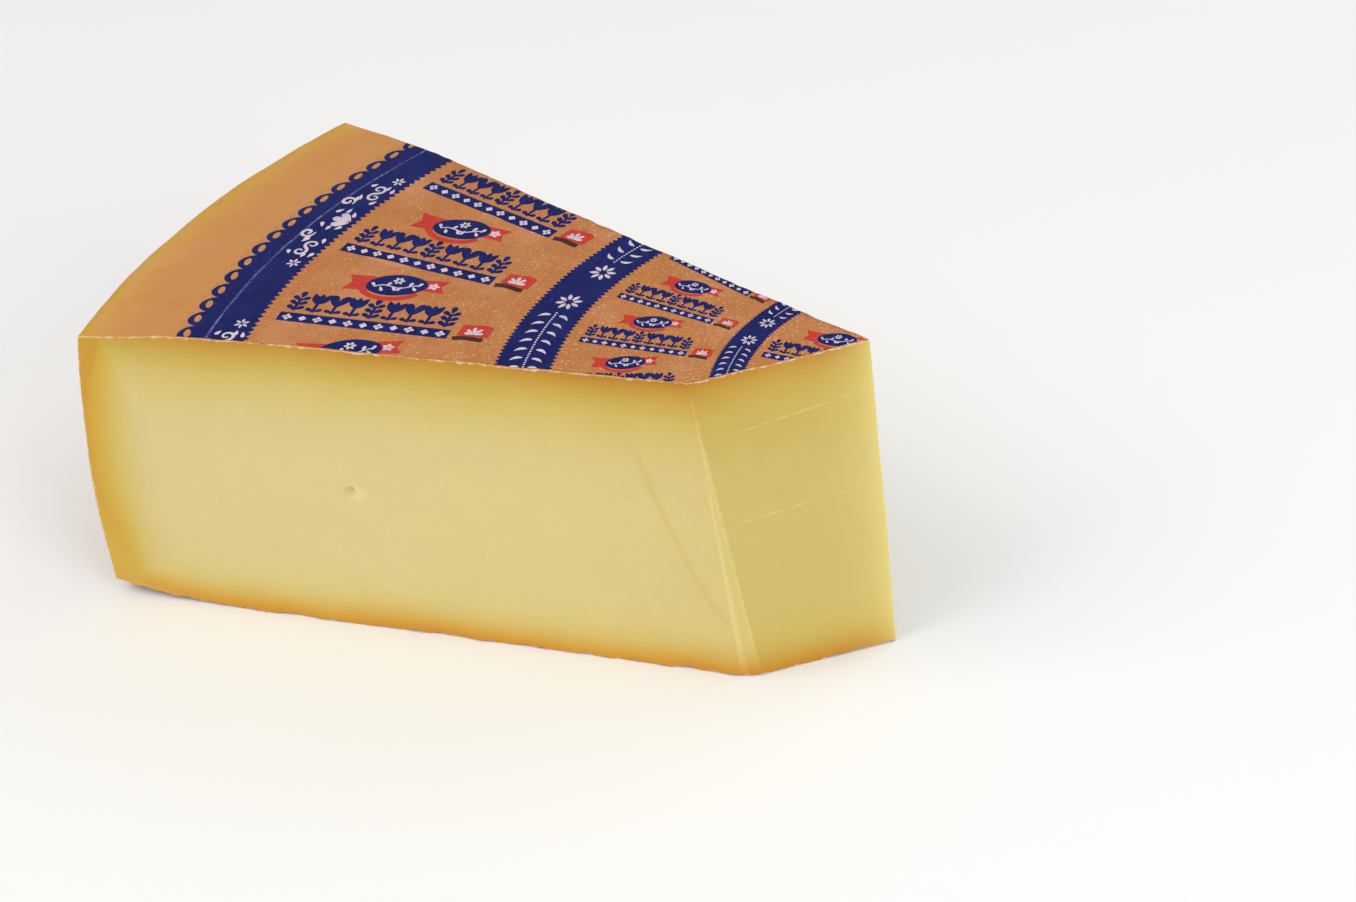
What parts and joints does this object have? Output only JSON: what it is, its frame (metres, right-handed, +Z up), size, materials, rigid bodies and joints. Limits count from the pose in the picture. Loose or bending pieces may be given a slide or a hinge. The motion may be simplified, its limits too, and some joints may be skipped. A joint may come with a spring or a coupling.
{
  "type": "cheese wedge",
  "caption": "Wedge of hard cheese from a large wheel, with a curved rind heel, flat knife cuts, a slanted tip and a printed label film on the top rind.",
  "frame": {"origin": "middle of the bounding box, on the plane the flat bottom rests on", "axes": "+X from the rind heel towards the cut tip, +Z up out of the labelled top, -Y out of the long front cut"},
  "size_m": [0.2764, 0.1648, 0.1105],
  "materials": {
    "cheese": "satin",
    "label_film": "satin"
  },
  "bodies": {
    "root": {"cheese_wedge": "cheese", "printed_label": "label_film"}
  },
  "joints": []
}
